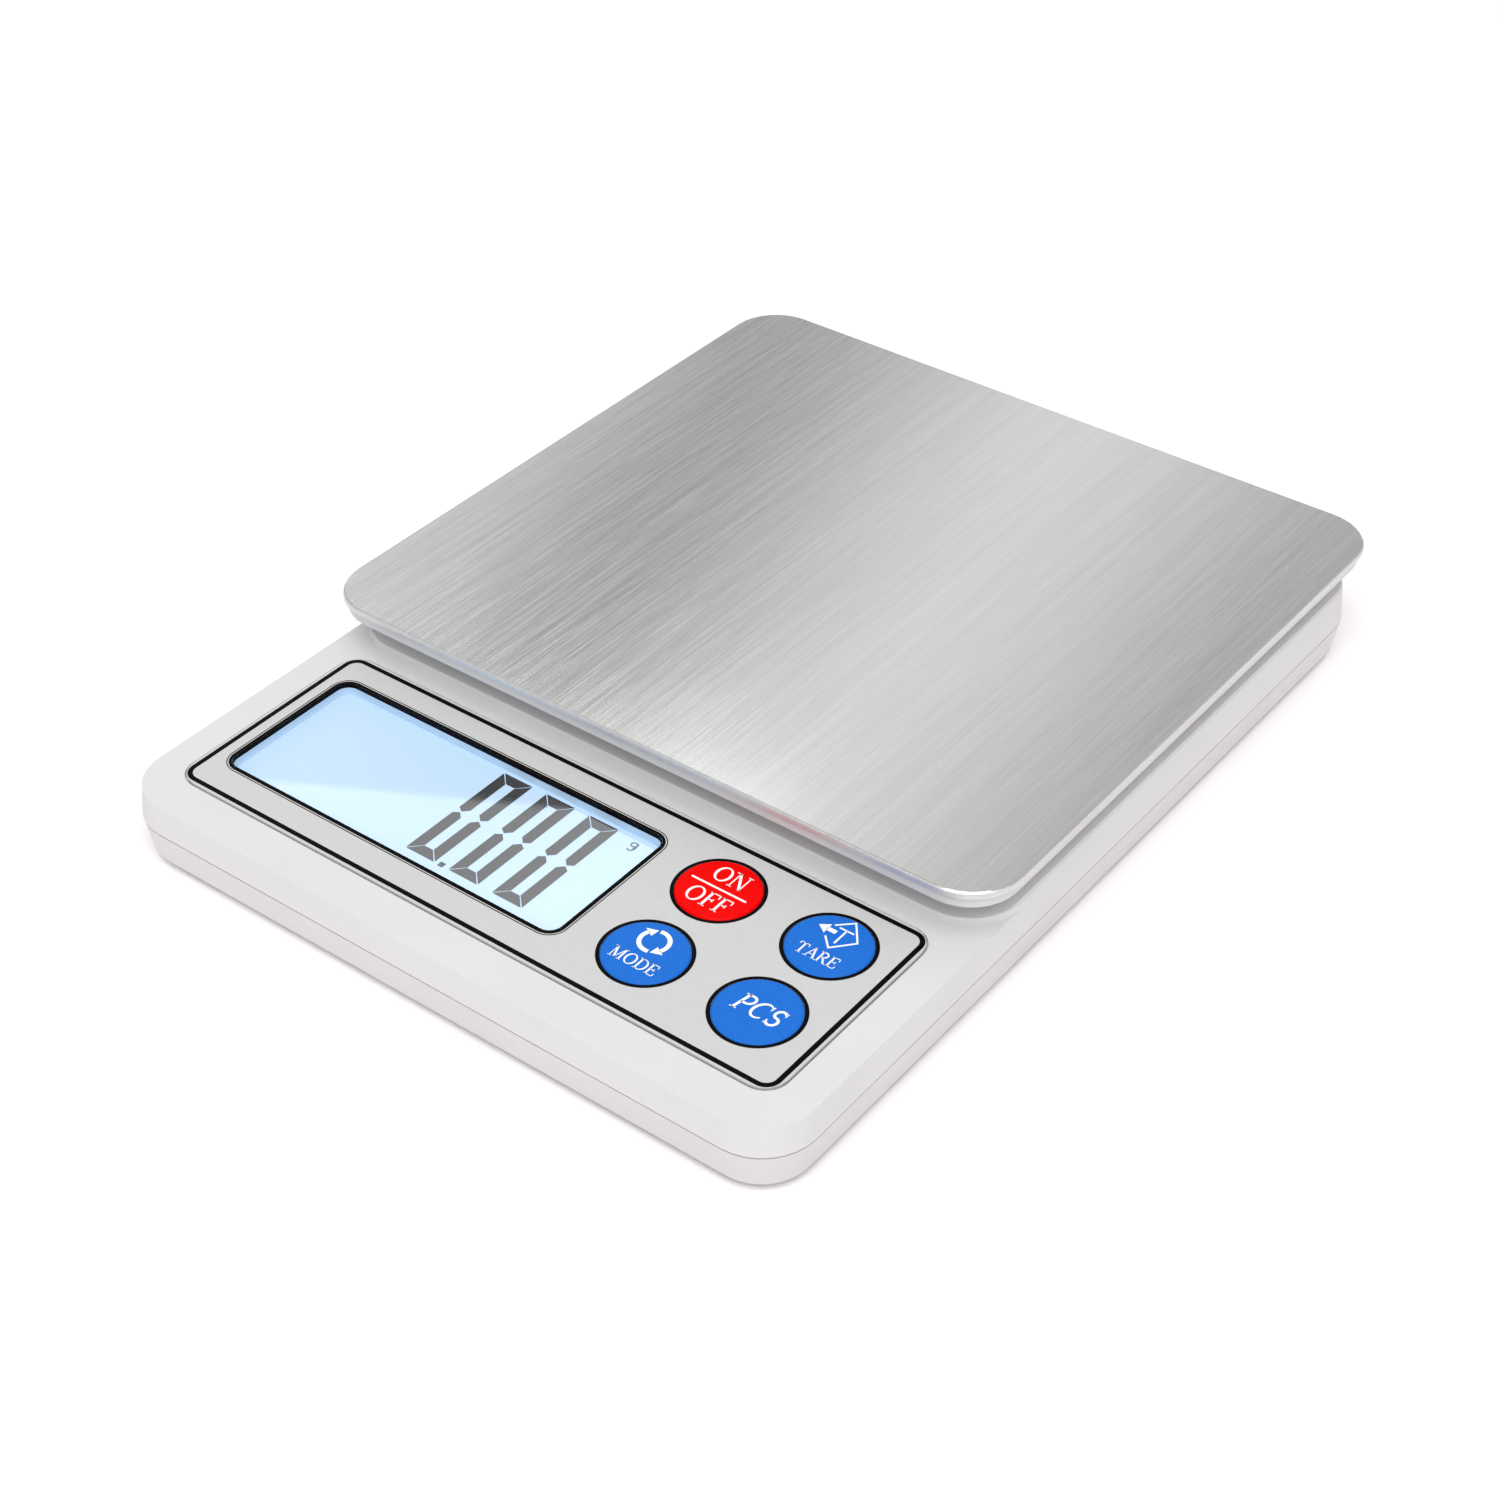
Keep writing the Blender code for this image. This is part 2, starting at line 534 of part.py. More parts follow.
def build_load_cell(metal_mat, gauge_mat, screw_mat, cable_mat):
    """Aluminium bending beam with its gauges, spacers, screws and cable."""
    cell = box("load_cell", CELL, *CELL_LEVELS)
    middle_z = (CELL_LEVELS[0] + CELL_LEVELS[1]) / 2
    for x in FLEXURE_SPOTS:
        cut(cell, flexure_hole(x, middle_z))
    slot = (FLEXURE_SPOTS[0], FLEXURE_SPOTS[1], CELL[2] - OVERCUT, CELL[3] + OVERCUT)
    cut(cell, box("slot", slot, middle_z - FLEXURE_SLOT, middle_z + FLEXURE_SLOT, TOOLS))
    base = box("load_cell_base_spacer", BASE_SPACER, *BASE_SPACER_LEVELS)
    top = slab("load_cell_top_spacer", TOP_SPACER, TOP_SPACER_RADIUS, [(z, 0.0) for z in TOP_SPACER_LEVELS])
    low, high = CELL_LEVELS[0] - OVERCUT, TOP_SPACER_LEVELS[1] + OVERCUT
    for number, reach in enumerate(CELL_HOLE_SPOTS, 1):
        for side, piece, profile, label in ((1, base, BASE_SCREW, "base"), (-1, top, TOP_SCREW, "top")):
            x = side * reach
            cut(cell, hole(x, CELL_MIDDLE_Y, low, high, CELL_HOLE_RADIUS, SMALL_ROUND_STEPS))
            cut(piece, hole(x, CELL_MIDDLE_Y, low, high, CELL_HOLE_RADIUS, SMALL_ROUND_STEPS))
            paint(turned(f"{label}_screw_{number}", x, CELL_MIDDLE_Y, profile, SMALL_ROUND_STEPS), screw_mat)
    paint(cell, metal_mat)
    paint(base, metal_mat)
    paint(top, metal_mat)
    paint(box("strain_gauge_top", GAUGE, *GAUGE_TOP_LEVELS), gauge_mat)
    paint(box("strain_gauge_bottom", GAUGE, *GAUGE_UNDER_LEVELS), gauge_mat)
    tube("sensor_cable", CABLE_PATH, CABLE_RADIUS).data.materials.append(cable_mat)


def flexure_hole(x, z):
    """A round cutting shape lying front to back through the beam."""
    length = CELL[3] - CELL[2] + OVERCUT
    profile = ((-length / 2, FLEXURE_RADIUS), (length / 2, FLEXURE_RADIUS))
    rings = [(level, circle(0.0, 0.0, radius, ROUND_STEPS)) for level, radius in profile]
    tool = stack("flexure", rings, (0.0, 0.0, 0.0), TOOLS)
    tool.location = world(x, CELL_MIDDLE_Y, z)
    tool.rotation_euler = (math.radians(90.0), 0.0, 0.0)
    return tool


def build_batteries(jacket_mat, contact_mat):
    """Two small cells lying side by side in opposite directions, and the spring contacts at their ends."""
    for number, (y, turn) in enumerate(zip(BATTERY_ROWS, (90.0, -90.0)), 1):
        rings = [(z, circle(0.0, 0.0, radius, ROUND_STEPS)) for z, radius in BATTERY_PROFILE]
        battery = stack(f"battery_cell_{number}", rings, (0.0, 0.0, 0.0))
        battery.location = world(0.0, y, BATTERY_Z)
        battery.rotation_euler = (0.0, math.radians(turn), 0.0)
        paint(battery, jacket_mat)
    first, second = BATTERY_ROWS
    build_contact("battery_link_plate", -1, first - CONTACT_HALF, second + CONTACT_HALF, BATTERY_ROWS, contact_mat)
    build_contact("battery_contact_plus", 1, first - CONTACT_HALF, first + CONTACT_HALF, (first,), contact_mat)
    build_contact("battery_contact_minus", 1, second - CONTACT_HALF, second + CONTACT_HALF, (second,), contact_mat)


def build_contact(name, side, y0, y1, spring_rows, mat):
    """A spring steel plate standing at one end of the bay, with a coned spring for each cell it meets."""
    ends = sorted((side * CONTACT_INNER, side * CONTACT_OUTER))
    plate = box(name, (ends[0], ends[1], y0, y1), *CONTACT_LEVELS)
    for y in spring_rows:
        rings = [
            (z, circle(0.0, 0.0, radius, SMALL_ROUND_STEPS))
            for z, radius in zip((-(CONTACT_INNER + CONTACT_OUTER) / 2, -SPRING_REACH), SPRING_RADII)
        ]
        spring = stack("spring", rings, (0.0, 0.0, 0.0), TOOLS)
        spring.location = world(0.0, y, BATTERY_Z)
        spring.rotation_euler = (0.0, math.radians(-90.0 * side), 0.0)
        join(plate, spring)
    paint(plate, mat)


def build_leads(mats):
    """Two leads from the battery contacts to the circuit board."""
    for name, path, mat in zip(("battery_lead_plus", "battery_lead_minus"), LEAD_PATHS, mats):
        tube(name, path, LEAD_RADIUS).data.materials.append(mat)


def build_battery_door(mat):
    """Sliding door: a plate flush with the underside, with side flanges that run in the channel."""
    low, step, high = DOOR_LEVELS
    door = box("battery_door", DOOR, low, high)
    join(door, box("door_flange", DOOR_FLANGE, step, high, TOOLS))
    for y in GRIP_ROWS:
        cut(door, box("grip", (*GRIP, y, y + GRIP_WIDTH), low - OVERCUT, low + GRIP_DEPTH, TOOLS))
    paint(door, mat)


def build_feet(foot_mat, screw_mat):
    """Four rubber feet, each over the head of a case screw."""
    for number, (x, y) in enumerate(FOOT_SPOTS, 1):
        paint(turned(f"foot_{number}", x, y, FOOT_PROFILE), foot_mat)
        paint(turned(f"case_screw_{number}", x, y, CASE_SCREW, SMALL_ROUND_STEPS), screw_mat)


def build_platform(steel_mat, tray_mat):
    """Steel weighing plate, turned down at its edge, on a ribbed plastic tray."""
    plate = slab("weighing_plate", PLATE, PLATE_RADIUS, PLATE_LEVELS)
    rim, under = PLATE_LEVELS[0][0], PLATE_LEVELS[-1][0] - PLATE_SHEET
    cut(plate, slab("pan", PLATE, PLATE_RADIUS, ((rim - OVERCUT, PLATE_SHEET), (under, PLATE_SHEET)), TOOLS))
    paint(plate, steel_mat)
    tray = slab("platform_tray", PLATE, PLATE_RADIUS, TRAY_LEVELS)
    crown = ((TRAY_POCKET_TOP, TRAY_CROWN_INSET), (TRAY_CROWN_TOP, TRAY_CROWN_INSET))
    join(tray, slab("crown", PLATE, PLATE_RADIUS, crown, TOOLS))
    low = TRAY_LEVELS[0][0] - OVERCUT
    for span in TRAY_POCKETS:
        cut(tray, slab("pocket", span, TRAY_POCKET_RADIUS, ((low, 0.0), (TRAY_POCKET_TOP, 0.0)), TOOLS))
    for reach in CELL_HOLE_SPOTS:
        cut(tray, hole(-reach, CELL_MIDDLE_Y, TOP_WELL_BOTTOM, TRAY_CROWN_TOP + OVERCUT, TOP_WELL_RADIUS))
        cut(tray, hole(-reach, CELL_MIDDLE_Y, low, TRAY_CROWN_TOP, CELL_HOLE_RADIUS, SMALL_ROUND_STEPS))
    paint(tray, tray_mat)


def build_scale():
    """Every piece of the scale, case first and weighing plate last."""
    shell_mat = material("shell_white", SHELL_WHITE, 0.0, 0.45)
    screw_mat = material("screw_nickel", NICKEL, 1.0, 0.3)
    build_lower_shell(shell_mat)
    build_upper_shell(material("upper_white", SHELL_WHITE, 0.0, 0.45))
    build_control_panel(material("panel_print", PANEL_GREY, 0.0, 0.5))
    build_display(
        material("window_clear", DISPLAY_BLUE, 0.0, 0.05, 0.35), material("lcd", DISPLAY_BLUE, 0.0, 0.1),
        material("backlight", DISPLAY_BLUE, 0.0, 0.3), material("strip_rubber", RUBBER_GREY, 0.0, 0.7),
    )
    build_board(
        material("board_green", BOARD_GREEN, 0.0, 0.4), material("chip_black", CHIP_BLACK, 0.0, 0.4),
        material("plug_white", SILICONE_WHITE, 0.0, 0.4), screw_mat,
    )
    red = material("key_red", KEY_RED, 0.0, 0.35)
    blue = material("key_blue", KEY_BLUE, 0.0, 0.35)
    plunger_mat = material("plunger_black", CHIP_BLACK, 0.0, 0.4)
    switch_mat = material("switch_steel", NICKEL, 1.0, 0.4)
    left, right = KEY_COLUMNS
    front, back = KEY_ROWS
    for name, x, y, cap_mat in (
        ("on_off", left, back, red), ("tare", right, back, blue),
        ("mode", left, front, blue), ("count", right, front, blue),
    ):
        build_key(name, x, y, cap_mat, plunger_mat, switch_mat)
    build_load_cell(
        material("cell_aluminium", ALUMINIUM, 1.0, 0.35), material("gauge_silicone", SILICONE_WHITE, 0.0, 0.6),
        screw_mat, material("cable_grey", PANEL_GREY, 0.0, 0.5),
    )
    build_batteries(material("battery_jacket", CELL_JACKET, 0.4, 0.3), material("contact_nickel", NICKEL, 1.0, 0.25))
    build_leads((material("lead_red", LEAD_RED, 0.0, 0.5), material("lead_black", LEAD_BLACK, 0.0, 0.5)))
    build_battery_door(material("door_white", SHELL_WHITE, 0.0, 0.45))
    build_feet(material("foot_rubber", RUBBER_GREY, 0.0, 0.8), screw_mat)
    build_platform(material("brushed_steel", STEEL, 1.0, 0.35), material("tray_white", SHELL_WHITE, 0.0, 0.45))


build_scale()
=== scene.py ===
"""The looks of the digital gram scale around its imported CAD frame.

Lengths are millimetres, with Y from the case's front edge, until at() turns them into metres.
"""

import math

import bmesh
import bpy
from mathutils import Matrix, Vector


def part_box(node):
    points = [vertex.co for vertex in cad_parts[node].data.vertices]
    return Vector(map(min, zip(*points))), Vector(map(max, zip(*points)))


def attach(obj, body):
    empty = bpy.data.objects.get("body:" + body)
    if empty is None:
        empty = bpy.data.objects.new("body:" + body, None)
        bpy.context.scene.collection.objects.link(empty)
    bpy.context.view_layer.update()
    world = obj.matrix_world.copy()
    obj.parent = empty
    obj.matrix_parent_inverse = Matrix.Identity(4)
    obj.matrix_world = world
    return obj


MM = 0.001
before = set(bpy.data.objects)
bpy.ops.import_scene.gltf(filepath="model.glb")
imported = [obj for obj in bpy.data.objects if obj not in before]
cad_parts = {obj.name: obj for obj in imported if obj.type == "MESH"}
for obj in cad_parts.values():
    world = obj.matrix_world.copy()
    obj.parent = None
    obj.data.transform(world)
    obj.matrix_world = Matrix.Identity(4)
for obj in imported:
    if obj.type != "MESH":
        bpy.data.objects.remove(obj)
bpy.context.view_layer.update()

# Camera fitted to the photograph
LENS = 64.9
CAMERA_SPOT = (214.6, -290.45, 278.85)
CAMERA_AZIMUTH = 37.073
CAMERA_ELEVATION = 37.945
CAMERA_ROLL = 0.150

KEYS = ("on_off", "mode", "tare", "count")
STEEL = (0.685, 0.685, 0.68)
CREASE = 32.0
PLATE_FACE = 22.7 * MM
WINDOW_FACE = 12.6 * MM
WINDOW_MIRROR = 0.08
DISPLAY_BLUE = (0.44, 0.58, 0.76)
BACKLIGHT_BLUE = (0.56, 0.86, 1.0, 1.0)
BACKLIGHT_STRENGTH = 0.14

# Surroundings fitted to one viewpoint, so this is not plain studio light. Both axes are mirrored view
# directions worked out from the camera fit, and the levels were set from the plate's brightness
# in the photograph. They belong to the world.
BAND_AXIS = (-0.8549, -0.2363, -0.4619)
BAND = (
    (-0.24, 1.05), (-0.155, 0.76), (-0.12, 1.12), (-0.06, 1.70), (-0.02, 1.40),
    (0.02, 0.96), (0.055, 0.56), (0.09, 1.08), (0.13, 1.48), (0.20, 1.05),
)
STRIP_AXIS = (-0.3100, 0.5602, -0.7682)
STRIP_EDGE = (-0.001, 0.0005)
STRIP_FADE = (-0.06, -0.042)
STRIP_START = (-0.06, -0.035)
STRIP_END = (0.14, 0.18)
STRIP_HEIGHT = (0.4, 0.5)
STRIP_LIGHT = 2.1
BAND_PEAK = 1.8
SKY_EDGE = 0.62
SKY_TOP = 0.64
HORIZON_TONE = (1.0, 0.967, 0.974)
TONE_HEIGHT = (0.1, 0.6)
KEY_LIGHT_SPOT = (0.65, -0.86, 1.92)
KEY_LIGHT_SIZE = (1.8, 1.8)
KEY_LIGHT_POWER = 42.0
FLOOR_HALF = 2.5
FLOOR_WHITE = (0.91, 0.88, 0.89)


def socket(node, name, value):
    """Sets one input's value."""
    node.inputs[name].default_value = value


def map_range(tree, value, low, high, out_low, out_high):
    """Moves a value in a node tree from one range to another, held inside the new range."""
    node = tree.nodes.new("ShaderNodeMapRange")
    ends = {"From Min": low, "From Max": high, "To Min": out_low, "To Max": out_high}
    for name, number in ends.items():
        socket(node, name, number)
    tree.links.new(value, node.inputs["Value"])
    return node.outputs["Result"]


class Look:
    """A Principled material being put together, with shorthand for the nodes it uses."""

    def __init__(self, name, color, roughness, **values):
        self.mat = bpy.data.materials.new(name)
        self.mat.use_nodes = True
        self.tree = self.mat.node_tree
        self.shader = self.tree.nodes["Principled BSDF"]
        socket(self.shader, "Base Color", (*color, 1.0))
        socket(self.shader, "Roughness", roughness)
        for key, value in values.items():
            socket(self.shader, key.replace("_", " "), value)
        self.color = color
        self.height = None

    def add(self, kind, **settings):
        node = self.tree.nodes.new(kind)
        for key, value in settings.items():
            setattr(node, key, value)
        return node

    def link(self, a, b):
        self.tree.links.new(a, b)

    def place(self, scale=(1.0, 1.0, 1.0)):
        """Object coordinates in metres, stretched."""
        coords = self.add("ShaderNodeTexCoord")
        mapping = self.add("ShaderNodeMapping")
        socket(mapping, "Scale", scale)
        self.link(coords.outputs["Object"], mapping.inputs["Vector"])
        return mapping.outputs["Vector"]

    def noise(self, size, detail=2.0, stretch=(1.0, 1.0, 1.0), roughness=0.5):
        """Noise whose grains are about the given size in millimetres."""
        node = self.add("ShaderNodeTexNoise")
        socket(node, "Scale", 1.0 / (size * MM))
        socket(node, "Detail", detail)
        socket(node, "Roughness", roughness)
        self.link(self.place(stretch), node.inputs["Vector"])
        return node.outputs["Fac"]

    def spread(self, value, low, high, out_low, out_high):
        """Moves a value from one range to another."""
        return map_range(self.tree, value, low, high, out_low, out_high)

    def tint(self, value, dark, light, low=0.35, high=0.65):
        """Base colour running from dark to light with the value."""
        node = self.add("ShaderNodeMix", data_type="RGBA")
        socket(node, 6, (*(c * dark for c in self.color), 1.0))
        socket(node, 7, (*(min(c * light, 1.0) for c in self.color), 1.0))
        self.link(self.spread(value, low, high, 0.0, 1.0), node.inputs[0])
        self.link(node.outputs[2], self.shader.inputs["Base Color"])
        return self

    def rough(self, value, low, high):
        """Roughness running from low to high with the value."""
        self.link(self.spread(value, 0.3, 0.7, low, high), self.shader.inputs["Roughness"])
        return self

    def bump(self, value, depth, strength=1.0):
        """Surface relief of the given depth in millimetres."""
        node = self.add("ShaderNodeBump")
        socket(node, "Strength", strength)
        socket(node, "Distance", depth * MM)
        self.link(value, node.inputs["Height"])
        if self.height is not None:
            self.link(self.height, node.inputs["Normal"])
        self.height = node.outputs["Normal"]
        self.link(self.height, self.shader.inputs["Normal"])
        return self


def moulded(name, color, roughness=0.42):
    """Injection moulded plastic with a fine spark-eroded texture."""
    look = Look(name, color, roughness)
    fine = look.noise(0.12, 2.0)
    broad = look.noise(18.0, 3.0)
    return look.tint(broad, 0.985, 1.012).rough(fine, roughness - 0.05, roughness + 0.07).bump(fine, 0.006)


def sanded_print(name, color):
    """Screen printed sheet with a fine sandy grain."""
    look = Look(name, color, 0.5)
    grain = look.noise(0.22, 3.0, roughness=0.7)
    return look.tint(grain, 0.93, 1.07, 0.3, 0.7).rough(grain, 0.42, 0.58).bump(grain, 0.01)


def brushed_steel(name):
    """Stainless sheet brushed from front to back."""
    look = Look(name, STEEL, 0.15, Metallic=1.0, Anisotropic=0.2)
    fine = look.noise(0.30, 3.0, (1.0, 0.02, 1.0), 0.65)
    long = look.noise(1.4, 2.0, (1.0, 0.03, 1.0))
    scaled = look.add("ShaderNodeMath", operation="MULTIPLY")
    socket(scaled, 1, 0.6)
    look.link(fine, scaled.inputs[0])
    mixed = look.add("ShaderNodeMath", operation="MULTIPLY_ADD")
    socket(mixed, 1, 0.4)
    look.link(long, mixed.inputs[0])
    look.link(scaled.outputs[0], mixed.inputs[2])
    look.tint(mixed.outputs[0], 0.94, 1.06, 0.36, 0.64)
    split = look.add("ShaderNodeSeparateXYZ")
    look.link(look.place(), split.inputs[0])
    edge = look.spread(split.outputs["Z"], PLATE_FACE - 0.25 * MM, PLATE_FACE - 0.05 * MM, 0.38, 0.0)
    total = look.add("ShaderNodeMath", operation="ADD")
    look.link(edge, total.inputs[0])
    look.link(look.spread(fine, 0.3, 0.7, 0.10, 0.17), total.inputs[1])
    look.link(total.outputs[0], look.shader.inputs["Roughness"])
    look.bump(fine, 0.0008)
    tangent = look.add("ShaderNodeCombineXYZ")
    socket(tangent, "Y", 1.0)
    look.link(tangent.outputs[0], look.shader.inputs["Tangent"])
    return look


def plain(name, color, roughness, grain=0.4, **values):
    """A small part's finish with a light grain of its own."""
    look = Look(name, color, roughness, **values)
    value = look.noise(grain, 2.0)
    return look.tint(value, 0.92, 1.06).rough(value, max(roughness - 0.06, 0.02), roughness + 0.08)


def clear_window(name):
    """Glossy clear plastic: its top face mirrors a little, the rest lets the display show through."""
    look = Look(name, (0.95, 0.98, 1.0), 0.02, Metallic=1.0)
    scuff = look.noise(6.0, 4.0)
    look.rough(scuff, 0.01, 0.03)
    split = look.add("ShaderNodeSeparateXYZ")
    look.link(look.place(), split.inputs[0])
    start, full = WINDOW_FACE - 0.2 * MM, WINDOW_FACE - 0.1 * MM
    face = look.spread(split.outputs["Z"], start, full, 0.0, WINDOW_MIRROR)
    look.link(face, look.shader.inputs["Alpha"])
    return look


def display_blue(name):
    """Pale blue display face, softly lit from behind."""
    look = Look(name, DISPLAY_BLUE, 0.4, Emission_Color=BACKLIGHT_BLUE, Emission_Strength=BACKLIGHT_STRENGTH)
    socket(look.shader, "Specular IOR Level", 0.1)
    broad = look.noise(40.0, 1.0)
    return look.tint(broad, 0.985, 1.01)


def wear(look, node):
    """Gives a CAD node its finish."""
    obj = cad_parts[node]
    obj.data.materials.clear()
    obj.data.materials.append(look.mat)


def mark_creases(mesh, angle):
    """Marks every edge whose faces meet at more than the angle, matching split vertices by position."""
    spots = [tuple(round(c * 1e6) for c in v.co) for v in mesh.vertices]
    meeting = {}
    for poly in mesh.polygons:
        for a, b in poly.edge_keys:
            meeting.setdefault(frozenset((spots[a], spots[b])), []).append(poly.normal.copy())
    limit = math.cos(math.radians(angle))
    for edge in mesh.edges:
        a, b = edge.vertices
        normals = meeting.get(frozenset((spots[a], spots[b])), [])
        edge.use_edge_sharp = any(n.dot(normals[0]) < limit for n in normals[1:])


def soften(node):
    """Shades a CAD node's curves smoothly and keeps its creases crisp, without touching its vertices."""
    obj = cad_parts[node]
    mark_creases(obj.data, CREASE)
    for poly in obj.data.polygons:
        poly.use_smooth = True
    weld = obj.modifiers.new("weld", "WELD")
    weld.merge_threshold = 0.00001
    normal = obj.modifiers.new("normal", "WEIGHTED_NORMAL")
    normal.keep_sharp = True
    normal.weight = 100


def link_mesh(name, bm, look, body):
    """Closes a bmesh into a named piece that rides on a body."""
    bmesh.ops.recalc_face_normals(bm, faces=bm.faces)
    mesh = bpy.data.meshes.new(name)
    bm.to_mesh(mesh)
    bm.free()
    mesh.materials.append(look.mat)
    obj = bpy.data.objects.new(name, mesh)
    bpy.context.scene.collection.objects.link(obj)
    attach(obj, body)
    return obj


HALF_DEPTH = 172.9 / 2


def at(x, y, z):
    """Case millimetres, with Y from the front edge, to row metres."""
    return Vector((x * MM, (y - HALF_DEPTH) * MM, z * MM))


def rounded(x0, x1, y0, y1, radius, steps=8):
    """Corner points of a rounded rectangle, anticlockwise."""
    points = []
    corners = (
        (x1 - radius, y1 - radius, 0), (x0 + radius, y1 - radius, 90),
        (x0 + radius, y0 + radius, 180), (x1 - radius, y0 + radius, 270),
    )
    for cx, cy, start in corners:
        for step in range(steps + 1):
            angle = math.radians(start + 90.0 * step / steps)
            points.append((cx + radius * math.cos(angle), cy + radius * math.sin(angle)))
    return points


def ring_of(radius, x, y, steps=64):
    """Points round a circle."""
    turns = [2.0 * math.pi * step / steps for step in range(steps)]
    return [(x + radius * math.cos(t), y + radius * math.sin(t)) for t in turns]


def add_band(bm, outer, inner, z0, z1):
    """A closed flat band between two outlines with the same number of points."""
    loops = [[bm.verts.new(at(x, y, z)) for x, y in points] for z in (z0, z1) for points in (outer, inner)]
    low_out, low_in, high_out, high_in = loops
    count = len(outer)
    for i in range(count):
        j = (i + 1) % count
        bm.faces.new((high_out[i], high_out[j], high_in[j], high_in[i]))
        bm.faces.new((low_out[i], low_in[i], low_in[j], low_out[j]))
        bm.faces.new((low_out[i], low_out[j], high_out[j], high_out[i]))
        bm.faces.new((low_in[i], high_in[i], high_in[j], low_in[j]))


def add_tile(bm, points, z0, z1):
    """A closed flat tile."""
    low = [bm.verts.new(at(x, y, z0)) for x, y in points]
    high = [bm.verts.new(at(x, y, z1)) for x, y in points]
    count = len(points)
    for i in range(count):
        j = (i + 1) % count
        bm.faces.new((low[i], low[j], high[j], high[i]))
    bm.faces.new(high)
    bm.faces.new(list(reversed(low)))


def add_stroke(bm, points, width, z0, z1):
    """A flat stroke of even or changing width along a path."""
    widths = width if isinstance(width, (list, tuple)) else [width] * len(points)
    path = [Vector(p) for p in points]
    left, right = [], []
    for i, p in enumerate(path):
        before = (p - path[i - 1]).normalized() if i > 0 else None
        after = (path[i + 1] - p).normalized() if i + 1 < len(path) else None
        direction = ((before or after) + (after or before)).normalized()
        side = Vector((-direction.y, direction.x))
        stretch = 1.0
        if before is not None and after is not None:
            stretch = 1.0 / max(side.dot(Vector((-after.y, after.x))), 0.5)
        half = widths[i] / 2 * stretch
        left.append(tuple(p + side * half))
        right.append(tuple(p - side * half))
    for i in range(len(path) - 1):
        add_tile(bm, [right[i], right[i + 1], left[i + 1], left[i]], z0, z1)


def arc(cx, cy, rx, ry, start, end, steps=16):
    """Points along part of an ellipse."""
    return [
        (cx + rx * math.cos(math.radians(start + (end - start) * k / steps)),
         cy + ry * math.sin(math.radians(start + (end - start) * k / steps)))
        for k in range(steps + 1)
    ]


# Letters are drawn in a box one unit high
THICK = 0.125
THIN = 0.06
BOWL_LINE = 0.11
S_LINE = 0.12
G_LINE = 0.09
SERIF_LINE = THIN * 0.8


def line(x0, y0, x1, y1, width=THIN):
    """One straight stroke of a letter."""
    return [(x0, y0), (x1, y1)], width


def serif(x, y, half=0.13):
    """A short crossing line at the end of a stem."""
    return line(x - half, y, x + half, y, SERIF_LINE)


STRAIGHT_LETTERS = {
    "N": (0.9, [
        line(0.14, 0.0, 0.14, 1.0), line(0.14, 1.0, 0.70, 0.0, THICK), line(0.70, 0.0, 0.70, 1.0),
        serif(0.14, 0.02), serif(0.08, 0.98), serif(0.70, 0.98),
    ]),
    "F": (0.68, [
        line(0.16, 0.0, 0.16, 1.0, THICK), line(0.05, 0.97, 0.58, 0.97), line(0.58, 0.99, 0.60, 0.74),
        line(0.16, 0.52, 0.44, 0.52), line(0.44, 0.62, 0.44, 0.42), serif(0.16, 0.02, 0.16),
    ]),
    "E": (0.72, [
        line(0.16, 0.0, 0.16, 1.0, THICK), line(0.05, 0.97, 0.58, 0.97), line(0.58, 0.99, 0.60, 0.76),
        line(0.16, 0.52, 0.46, 0.52), line(0.46, 0.62, 0.46, 0.42), line(0.05, 0.03, 0.60, 0.03),
        line(0.60, 0.01, 0.64, 0.26),
    ]),
    "M": (1.02, [
        line(0.14, 0.0, 0.14, 1.0), line(0.14, 1.0, 0.46, 0.06, THICK), line(0.46, 0.06, 0.78, 1.0),
        line(0.80, 0.0, 0.80, 1.0, THICK), serif(0.14, 0.02), serif(0.10, 0.98), serif(0.80, 0.02),
        serif(0.84, 0.98),
    ]),
    "T": (0.76, [
        line(0.36, 0.0, 0.36, 1.0, THICK), line(0.04, 0.97, 0.68, 0.97), line(0.04, 1.0, 0.03, 0.76),
        line(0.68, 1.0, 0.69, 0.76), serif(0.36, 0.02, 0.16),
    ]),
    "A": (0.84, [
        line(0.10, 0.0, 0.40, 1.0), line(0.38, 1.0, 0.70, 0.0, THICK), line(0.22, 0.34, 0.58, 0.34),
        serif(0.10, 0.02), serif(0.70, 0.02),
    ]),
}


def swelling(steps):
    """Widths that grow from thin to thick and back along a bend."""
    return [THIN + (THICK - THIN) * math.sin(math.pi * k / steps) for k in range(steps + 1)]


def closed_bowl(middle, reach, rise, end):
    """The round part of P or R: out along the top, round and back to the stem."""
    bend = arc(0.36, middle, reach, rise, 80, -80, 12)
    return [(0.16, 0.97), (0.36, 0.97)] + bend + [(0.36, end), (0.16, end)]


